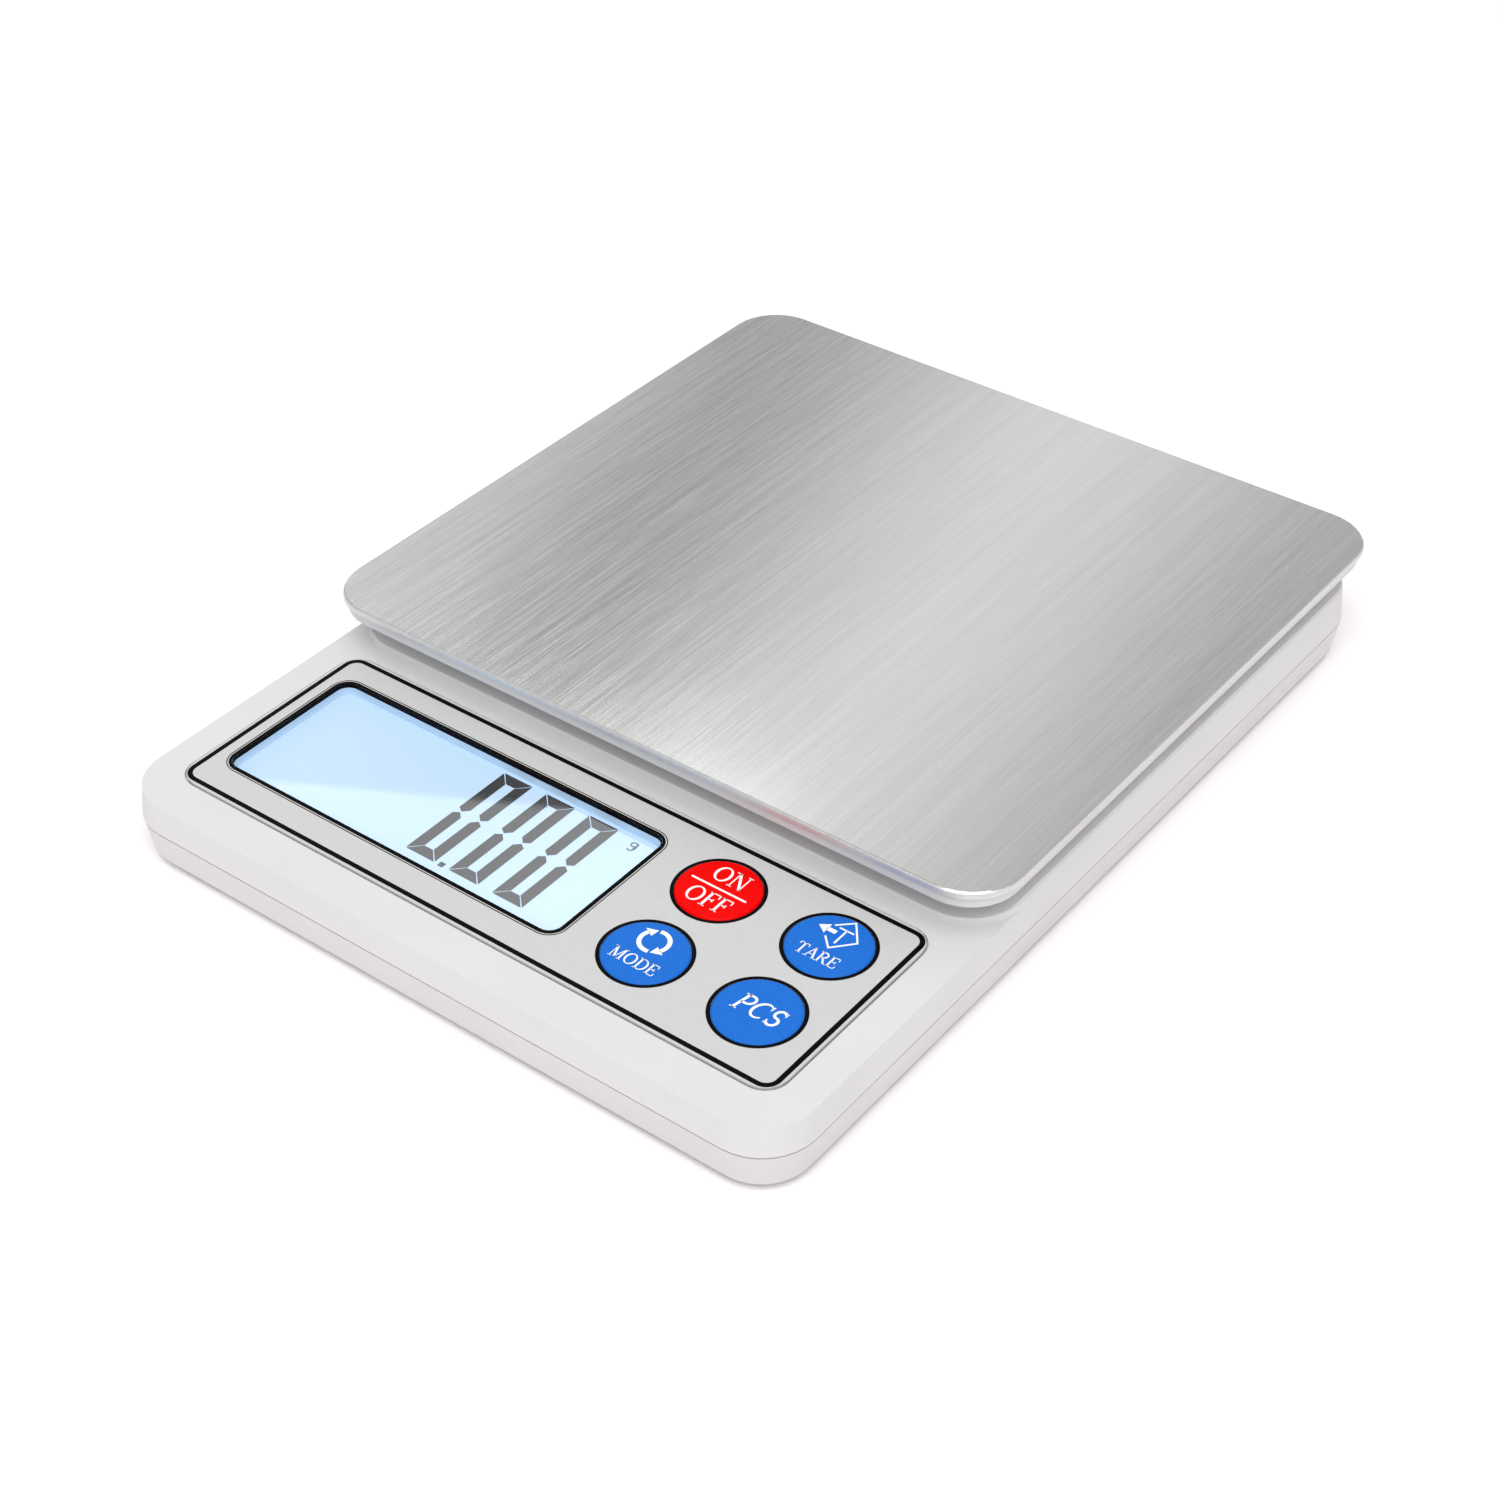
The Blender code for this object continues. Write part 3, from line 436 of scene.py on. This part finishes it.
def letter_strokes(letter):
    """Strokes of one serifed letter as (points, width), and how far it moves the pen."""
    if letter in STRAIGHT_LETTERS:
        advance, strokes = STRAIGHT_LETTERS[letter]
        return strokes, advance
    stem = line(0.16, 0.0, 0.16, 1.0, THICK)
    if letter == "O":
        turns = 28
        ring = arc(0.42, 0.5, 0.35, 0.47, 0, 360, turns)
        widths = [THIN + (THICK - THIN) * abs(math.cos(2 * math.pi * k / turns)) for k in range(turns + 1)]
        return [(ring, widths)], 0.9
    if letter == "D":
        bend = arc(0.36, 0.5, 0.36, 0.47, 80, -80, 16)
        bowl = [(0.16, 0.97), (0.36, 0.97)] + bend + [(0.36, 0.03), (0.16, 0.03)]
        widths = [THIN, THIN] + swelling(16) + [THIN, THIN]
        return [stem, (bowl, widths), serif(0.12, 0.98), serif(0.12, 0.02)], 0.84
    if letter == "R":
        bowl = closed_bowl(0.74, 0.22, 0.23, 0.51)
        leg = line(0.36, 0.51, 0.66, 0.02, THICK)
        feet = [serif(0.14, 0.02), serif(0.12, 0.98), serif(0.70, 0.02, 0.09)]
        return [stem, (bowl, BOWL_LINE), leg] + feet, 0.80
    if letter == "P":
        bowl = closed_bowl(0.72, 0.25, 0.25, 0.47)
        return [stem, (bowl, BOWL_LINE), serif(0.16, 0.02, 0.16), serif(0.12, 0.98)], 0.72
    if letter == "C":
        bend = arc(0.44, 0.5, 0.36, 0.47, 48, 312, 24)
        return [(bend, swelling(24)), line(0.69, 0.98, 0.69, 0.72)], 0.82
    if letter == "S":
        bend = arc(0.32, 0.74, 0.21, 0.23, 30, 250, 14) + arc(0.34, 0.26, 0.22, 0.24, 70, -150, 14)
        return [(bend, S_LINE), line(0.52, 0.98, 0.53, 0.76), line(0.12, 0.26, 0.11, 0.02)], 0.64
    bowl = arc(0.34, 0.48, 0.22, 0.20, 0, 360, 20)
    tail = [(0.56, 0.68), (0.56, 0.06)] + arc(0.34, 0.06, 0.22, 0.20, 0, -140, 12)
    return [(bowl, G_LINE), (tail, G_LINE)], 0.7


def add_word(bm, word, cx, cy, height, z0, z1, slant=0.0):
    """A word centred on a spot."""
    total = sum(letter_strokes(letter)[1] for letter in word) * height
    x = cx - total / 2
    y = cy - height / 2
    for letter in word:
        strokes, advance = letter_strokes(letter)
        for points, width in strokes:
            spots = [(x + (px + slant * (py - 0.5)) * height, y + py * height) for px, py in points]
            widths = [w * height for w in width] if isinstance(width, list) else width * height
            add_stroke(bm, spots, widths, z0, z1)
        x += advance * height


PANEL_TOP = 13.3
INK = 0.03
PANEL_LINE = (-58.1, 57.35, 8.8, 47.65)
PANEL_LINE_RADIUS = 2.2
PANEL_LINE_HALF = 0.42
WINDOW = (-55.05, 13.0, 14.75, 42.35)
WINDOW_RADIUS = 2.5
THICK_LINE = (0.0, 0.5)
THIN_LINE = (0.70, 0.86)
RIM = (-0.22, -0.04)
RIM_LEVELS = (11.16, 12.6)
# Bottom of the black band that is partly gasket and partly painted shade
GASKET_AND_SHADE_BOTTOM = 12.61
FILM_INSET = 0.06
FILM_LEVELS = (11.05, 11.15)
KEY_RING = (7.40, 6.86)


def build_borders(ink):
    """Black border lines round the panel and the display, and a ring round each key."""
    printed = (PANEL_TOP, PANEL_TOP + INK)
    line_edges = (-PANEL_LINE_HALF, PANEL_LINE_HALF)
    add_frame("panel_border", PANEL_LINE, PANEL_LINE_RADIUS, line_edges, ink, printed)
    add_frame("display_border", WINDOW, WINDOW_RADIUS, THICK_LINE, ink, printed)
    add_frame("display_border_outer", WINDOW, WINDOW_RADIUS, THIN_LINE, ink, printed)
    outer, inner = KEY_RING
    for name, (x, y) in key_spots().items():
        bm = bmesh.new()
        add_band(bm, ring_of(outer, x, y), ring_of(inner, x, y), *printed)
        link_mesh(f"ring_{name}", bm, ink, "base")


def build_display(blue, black):
    """The display picture's film under the window, its lit rim, and above it a black band round the well's
    upper walls: partly a gasket, partly painted shade that thickens the dark edge inside the window.
    """
    x0, x1, y0, y1 = WINDOW
    inset = FILM_INSET
    bm = bmesh.new()
    add_tile(bm, rounded(x0 + inset, x1 - inset, y0 + inset, y1 - inset, WINDOW_RADIUS), *FILM_LEVELS)
    link_mesh("display_film", bm, blue, "base")
    add_frame("display_rim", WINDOW, WINDOW_RADIUS, RIM, blue, RIM_LEVELS)
    # Black band, partly gasket and partly painted shade: its black stands in for the shadow along the
    # window's inner edge
    add_frame("display_gasket_and_shade", WINDOW, WINDOW_RADIUS, RIM, black, (GASKET_AND_SHADE_BOTTOM, PANEL_TOP + INK))


def add_frame(name, box, radius, offsets, look, levels):
    """A line round a rounded rectangle, between two offsets from it."""
    x0, x1, y0, y1 = box
    inner, outer = offsets
    edges = [rounded(x0 - out, x1 + out, y0 - out, y1 + out, radius + out) for out in (outer, inner)]
    bm = bmesh.new()
    add_band(bm, *edges, *levels)
    link_mesh(name, bm, look, "base")


def key_spots():
    """Centre of each key, from the CAD nodes."""
    spots = {}
    for name in KEYS:
        low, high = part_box(f"button_{name}")
        middle = (low + high) / 2
        spots[name] = (middle.x / MM, middle.y / MM + HALF_DEPTH)
    return spots


READING_LEVELS = (11.17, 11.21)
DIGIT_LEFTS = (-19.8, -11.0, -2.2)
DIGIT_FRONT = 18.45
DIGIT_HEIGHT = 23.0
DIGIT_WIDTH = 5.9
BAR = 2.0
BAR_GAP = 0.14
POINT = (-13.1, 18.2)
POINT_SIDE = 1.0
UNIT_SPOT = (7.9, 40.2)
UNIT_HEIGHT = 2.4


def build_reading(dark):
    """Digits 0.00 and a small g on the display picture."""
    bm = bmesh.new()
    for left in DIGIT_LEFTS:
        add_seven_segment_zero(bm, left, DIGIT_FRONT)
    x, y = POINT
    x1, y1 = x + POINT_SIDE, y + POINT_SIDE
    add_tile(bm, [(x, y), (x1, y), (x1, y1), (x, y1)], *READING_LEVELS)
    link_mesh("reading_digits", bm, dark, "base")
    bm = bmesh.new()
    add_word(bm, "g", *UNIT_SPOT, UNIT_HEIGHT, *READING_LEVELS)
    link_mesh("reading_unit", bm, dark, "base")


def add_seven_segment_zero(bm, x, y):
    """A zero with its middle bar off: six bevelled bars."""
    w, h, b, g = DIGIT_WIDTH, DIGIT_HEIGHT, BAR, BAR_GAP
    m = h / 2
    near = b + g / 2
    top = [(x + g, y + h), (x + w - g, y + h), (x + w - near, y + h - b), (x + near, y + h - b)]
    low = [(x + near, y + b), (x + w - near, y + b), (x + w - g, y), (x + g, y)]
    add_tile(bm, list(reversed(top)), *READING_LEVELS)
    add_tile(bm, list(reversed(low)), *READING_LEVELS)
    nick = b * 0.35
    upper = [(0, h - g), (0, m + g + nick), (b / 2, m + g), (b, m + g + b / 2), (b, h - b - g)]
    lower = [(0, g), (b, b + g), (b, m - g - b / 2), (b / 2, m - g), (0, m - g - nick)]
    for mirrored in (False, True):
        for bar in (upper, lower):
            points = [(x + w - px if mirrored else x + px, y + py) for px, py in bar]
            add_tile(bm, list(reversed(points)) if mirrored else points, *READING_LEVELS)


LEGEND_LEVELS = (13.55, 13.57)

# Each key's words: (word, across, back, height, slant) from the key's centre
KEY_WORDS = {
    "on_off": (("ON", 0.1, 3.2, 3.4, 0.0), ("OFF", 0.1, -2.7, 3.4, 0.0)),
    "mode": (("MODE", -0.1, -2.45, 2.4, 0.0),),
    "tare": (("TARE", -0.1, -2.8, 2.35, 0.0),),
    "count": (("PCS", 0.3, 0.3, 3.6, 0.2),),
}
DIVIDER = ((-5.2, 0.1), (5.0, 0.1))
DIVIDER_WIDTH = 0.36
ARROWS_SPOT = (-0.4, 2.55)
ARROW_RADIUS = 2.3
ARROW_LINE = 0.72
ARROW_HEAD = 0.95
ARROW_TURN = (104, -32)
HEAD_BASE = -30
HEAD_TIP = -68
TAG = ((-1.9, 4.0), (0.4, 6.2), (3.1, 2.7), (0.2, -0.6), (-1.7, 1.3))
TAG_LETTER = (((-1.0, 4.0), (1.6, 4.0)), ((0.3, 4.0), (0.3, 0.7)))
TAG_LINE = 0.30
TAG_ARROW_HEAD = ((-3.9, 2.8), (-2.3, 1.7), (-2.3, 3.9))
TAG_ARROW_SHAFT = ((-2.4, 2.8), (-0.8, 2.8))
TAG_SHAFT_WIDTH = 0.8


def build_legends(white):
    """Generic white words and marks printed on the keys."""
    marks = {"on_off": add_divider, "mode": add_turning_arrows, "tare": add_tare_mark}
    for key, (x, y) in key_spots().items():
        bm = bmesh.new()
        if key in marks:
            marks[key](bm, x, y)
        for word, across, back, height, slant in KEY_WORDS[key]:
            add_word(bm, word, x + across, y + back, height, *LEGEND_LEVELS, slant=slant)
        link_mesh(f"legend_{key}", bm, white, f"key_{key}")


def shifted(points, x, y):
    """Points moved by a key's centre."""
    return [(x + px, y + py) for px, py in points]


def add_divider(bm, x, y):
    """The line between the two words on the red key."""
    add_stroke(bm, shifted(DIVIDER, x, y), DIVIDER_WIDTH, *LEGEND_LEVELS)


def add_turning_arrows(bm, x, y):
    """Two curved arrows chasing each other clockwise."""
    x, y = x + ARROWS_SPOT[0], y + ARROWS_SPOT[1]
    r = ARROW_RADIUS
    start, end = ARROW_TURN
    for turn in (0.0, 180.0):
        add_stroke(bm, arc(x, y, r, r, turn + start, turn + end, 14), ARROW_LINE, *LEGEND_LEVELS)
        base, tip = math.radians(turn + HEAD_BASE), math.radians(turn + HEAD_TIP)
        head = ((r - ARROW_HEAD, base), (r + 0.15, tip), (r + ARROW_HEAD, base))
        points = [(x + reach * math.cos(angle), y + reach * math.sin(angle)) for reach, angle in head]
        add_tile(bm, points, *LEGEND_LEVELS)


def add_tare_mark(bm, x, y):
    """A tag with a T in it and an arrow leaving it."""
    add_stroke(bm, shifted(TAG, x, y), TAG_LINE, *LEGEND_LEVELS)
    for stroke in TAG_LETTER:
        add_stroke(bm, shifted(stroke, x, y), TAG_LINE, *LEGEND_LEVELS)
    add_tile(bm, shifted(TAG_ARROW_HEAD, x, y), *LEGEND_LEVELS)
    add_stroke(bm, shifted(TAG_ARROW_SHAFT, x, y), TAG_SHAFT_WIDTH, *LEGEND_LEVELS)


def build_stage():
    """Pale floor."""
    bm = bmesh.new()
    h = FLOOR_HALF
    bm.faces.new([bm.verts.new((x, y, 0.0)) for x, y in ((-h, -h), (h, -h), (h, h), (-h, h))])
    mesh = bpy.data.meshes.new("floor")
    bm.to_mesh(mesh)
    bm.free()
    look = Look("floor_white", FLOOR_WHITE, 0.9)
    socket(look.shader, "Specular IOR Level", 0.0)
    grain = look.noise(3.0, 2.0)
    look.tint(grain, 0.998, 1.0)
    mesh.materials.append(look.mat)
    floor = bpy.data.objects.new("floor", mesh)
    bpy.context.scene.collection.objects.link(floor)


def add_softbox(name, spot, target, size, power):
    """A rectangular area light aimed at a point."""
    data = bpy.data.lights.new(name, "AREA")
    data.shape = "RECTANGLE"
    data.size, data.size_y = size
    data.energy = power
    obj = bpy.data.objects.new(name, data)
    obj.location = spot
    aim = Vector(target) - Vector(spot)
    obj.rotation_euler = aim.to_track_quat("-Z", "Y").to_euler()
    bpy.context.scene.collection.objects.link(obj)
    return obj


class Surroundings:
    """The world's shader, with shorthand for the nodes it uses."""

    def __init__(self, name):
        self.world = bpy.data.worlds.new(name)
        self.world.use_nodes = True
        self.tree = self.world.node_tree
        self.direction = self.tree.nodes.new("ShaderNodeTexCoord").outputs["Generated"]
        split = self.tree.nodes.new("ShaderNodeSeparateXYZ")
        self.tree.links.new(self.direction, split.inputs[0])
        self.height = split.outputs["Z"]

    def times(self, a, b, kind="MULTIPLY"):
        """Two values, or a value and a number, multiplied or added."""
        node = self.tree.nodes.new("ShaderNodeMath")
        node.operation = kind
        for i, value in enumerate((a, b)):
            if isinstance(value, float):
                node.inputs[i].default_value = value
            else:
                self.tree.links.new(value, node.inputs[i])
        return node.outputs[0]

    def ramp(self, value, ends, out_low=0.0, out_high=1.0):
        return map_range(self.tree, value, *ends, out_low, out_high)

    def along(self, axis):
        """How far a direction leans along an axis."""
        node = self.tree.nodes.new("ShaderNodeVectorMath")
        node.operation = "DOT_PRODUCT"
        self.tree.links.new(self.direction, node.inputs[0])
        node.inputs[1].default_value = axis
        return node.outputs["Value"]

    def banded(self, across):
        """The bands that the plate mirrors, laid out in BAND."""
        curve = self.tree.nodes.new("ShaderNodeValToRGB")
        curve.color_ramp.interpolation = "B_SPLINE"
        stops = curve.color_ramp.elements
        while len(stops) < len(BAND):
            stops.new(0.5)
        low, high = BAND[0][0], BAND[-1][0]
        for stop, (spot, level) in zip(stops, BAND):
            stop.position = (spot - low) / (high - low)
            grey = level / BAND_PEAK
            stop.color = (grey, grey, grey, 1.0)
        self.tree.links.new(self.ramp(across, (low, high)), curve.inputs[0])
        sky = self.ramp(self.height, (0.0, 1.0), SKY_EDGE, SKY_TOP)
        return self.times(self.times(sky, curve.outputs[0]), BAND_PEAK)

    def strip(self, across):
        """A sharp edged strip light, whose mirror image crosses the display window."""
        beside = self.along(STRIP_AXIS)
        sides = self.times(self.ramp(beside, STRIP_EDGE, 1.0, 0.0), self.ramp(beside, STRIP_FADE))
        ends = self.times(self.ramp(across, STRIP_START), self.ramp(across, STRIP_END, 1.0, 0.0))
        raised = self.ramp(self.height, STRIP_HEIGHT, 0.0, STRIP_LIGHT)
        return self.times(self.times(sides, ends), raised)

    def finish(self):
        """Joins everything into the background."""
        background = self.tree.nodes["Background"]
        across = self.along(BAND_AXIS)
        total = self.times(self.banded(across), self.strip(across), "ADD")
        self.tree.links.new(total, background.inputs["Strength"])
        tone = self.tree.nodes.new("ShaderNodeMix")
        tone.data_type = "RGBA"
        tone.inputs[6].default_value = (*HORIZON_TONE, 1.0)
        tone.inputs[7].default_value = (1.0, 1.0, 1.0, 1.0)
        self.tree.links.new(self.ramp(self.height, TONE_HEIGHT), tone.inputs[0])
        self.tree.links.new(tone.outputs[2], background.inputs["Color"])
        return self.world


def build_lights():
    """Banded surroundings fitted to the camera's view, and one soft key in front and above."""
    bpy.context.scene.world = Surroundings("surroundings").finish()
    add_softbox("key_softbox", KEY_LIGHT_SPOT, (0.0, 0.0, 0.0), KEY_LIGHT_SIZE, KEY_LIGHT_POWER)


def build_camera():
    """The photograph's viewpoint."""
    az, el, roll = (math.radians(a) for a in (CAMERA_AZIMUTH, CAMERA_ELEVATION, CAMERA_ROLL))
    back = Vector((math.sin(az) * math.cos(el), -math.cos(az) * math.cos(el), math.sin(el)))
    right = Vector((math.cos(az), math.sin(az), 0.0))
    up = back.cross(right)
    right, up = right * math.cos(roll) + up * math.sin(roll), up * math.cos(roll) - right * math.sin(roll)
    data = bpy.data.cameras.new("camera")
    data.lens = LENS
    data.sensor_width = 36.0
    data.clip_start = 0.01
    obj = bpy.data.objects.new("camera", data)
    turn = Matrix((right, up, back)).transposed().to_4x4()
    obj.matrix_world = Matrix.Translation(Vector(CAMERA_SPOT) * MM) @ turn
    bpy.context.scene.collection.objects.link(obj)
    bpy.context.scene.camera = obj


def dress_nodes():
    """Gives every CAD node its finish and the visible ones softened edges."""
    shell = moulded("case_plastic", (0.62, 0.615, 0.616))
    tray = moulded("tray_plastic", (0.61, 0.61, 0.61))
    nickel = plain("nickel", (0.62, 0.60, 0.56), 0.25, Metallic=1.0)
    looks = {
        "lower_shell": shell, "upper_shell": shell, "battery_door": shell, "platform_tray": tray,
        "control_panel": sanded_print("panel_print_look", (0.52, 0.52, 0.52)),
        "weighing_plate": brushed_steel("plate_steel"),
        "display_window": clear_window("window_plastic"),
        "lcd_glass": display_blue("display_face"),
        "backlight_panel": plain("light_guide", (0.80, 0.92, 1.0), 0.3),
        "lcd_connector_strip": plain("conductive_rubber", (0.06, 0.06, 0.06), 0.7),
        "circuit_board": plain("board_green_look", (0.02, 0.18, 0.05), 0.35, 3.0),
        "controller_chip": plain("chip_epoxy", (0.02, 0.02, 0.02), 0.45),
        "sensor_plug": plain("plug_nylon", (0.82, 0.81, 0.76), 0.4),
        "load_cell": plain("cell_metal", (0.78, 0.79, 0.80), 0.3, 0.6, Metallic=1.0),
        "load_cell_base_spacer": plain("spacer_metal", (0.72, 0.73, 0.74), 0.35, 0.6, Metallic=1.0),
        "sensor_cable": plain("cable_jacket", (0.55, 0.55, 0.55), 0.5),
        "battery_link_plate": nickel, "battery_contact_plus": nickel, "battery_contact_minus": nickel,
        "battery_lead_plus": plain("lead_red_look", (0.6, 0.02, 0.02), 0.45),
        "battery_lead_minus": plain("lead_black_look", (0.02, 0.02, 0.02), 0.45),
    }
    looks["load_cell_top_spacer"] = looks["load_cell_base_spacer"]
    red = plain("key_red_look", (0.76, 0.0, 0.0), 0.38, 0.3, Specular_IOR_Level=0.06)
    blue = plain("key_blue_look", (0.014, 0.14, 0.56), 0.38, 0.3, Specular_IOR_Level=0.06)
    black = plain("black_plastic", (0.02, 0.02, 0.02), 0.45)
    steel = plain("switch_cover", (0.6, 0.6, 0.58), 0.35, Metallic=1.0)
    silicone = plain("silicone", (0.85, 0.85, 0.82), 0.5)
    rubber = plain("foot_rubber_look", (0.05, 0.05, 0.05), 0.8)
    jacket = plain("battery_wrap", (0.08, 0.08, 0.10), 0.3, 2.0)
    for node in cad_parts:
        if node.startswith("button_"):
            looks[node] = red if node == "button_on_off" else blue
        elif node.startswith("plunger_"):
            looks[node] = black
        elif node.startswith("switch_"):
            looks[node] = steel
        elif node.startswith("strain_gauge"):
            looks[node] = silicone
        elif node.startswith("foot_"):
            looks[node] = rubber
        elif node.startswith("battery_cell"):
            looks[node] = jacket
        elif "_screw_" in node:
            looks[node] = nickel
    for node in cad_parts:
        wear(looks[node], node)
        soften(node)


bpy.context.scene.view_settings.view_transform = "Standard"
dress_nodes()
ink = plain("ink_black", (0.002, 0.002, 0.002), 0.5, Specular_IOR_Level=0.05)
build_borders(ink)
build_display(display_blue("film_blue"), ink)
build_reading(plain("lcd_dark", (0.02, 0.02, 0.022), 0.5, Specular_IOR_Level=0.05))
build_legends(plain("legend_white", (0.85, 0.85, 0.85), 0.45, Specular_IOR_Level=0.1))
build_stage()
build_lights()
build_camera()
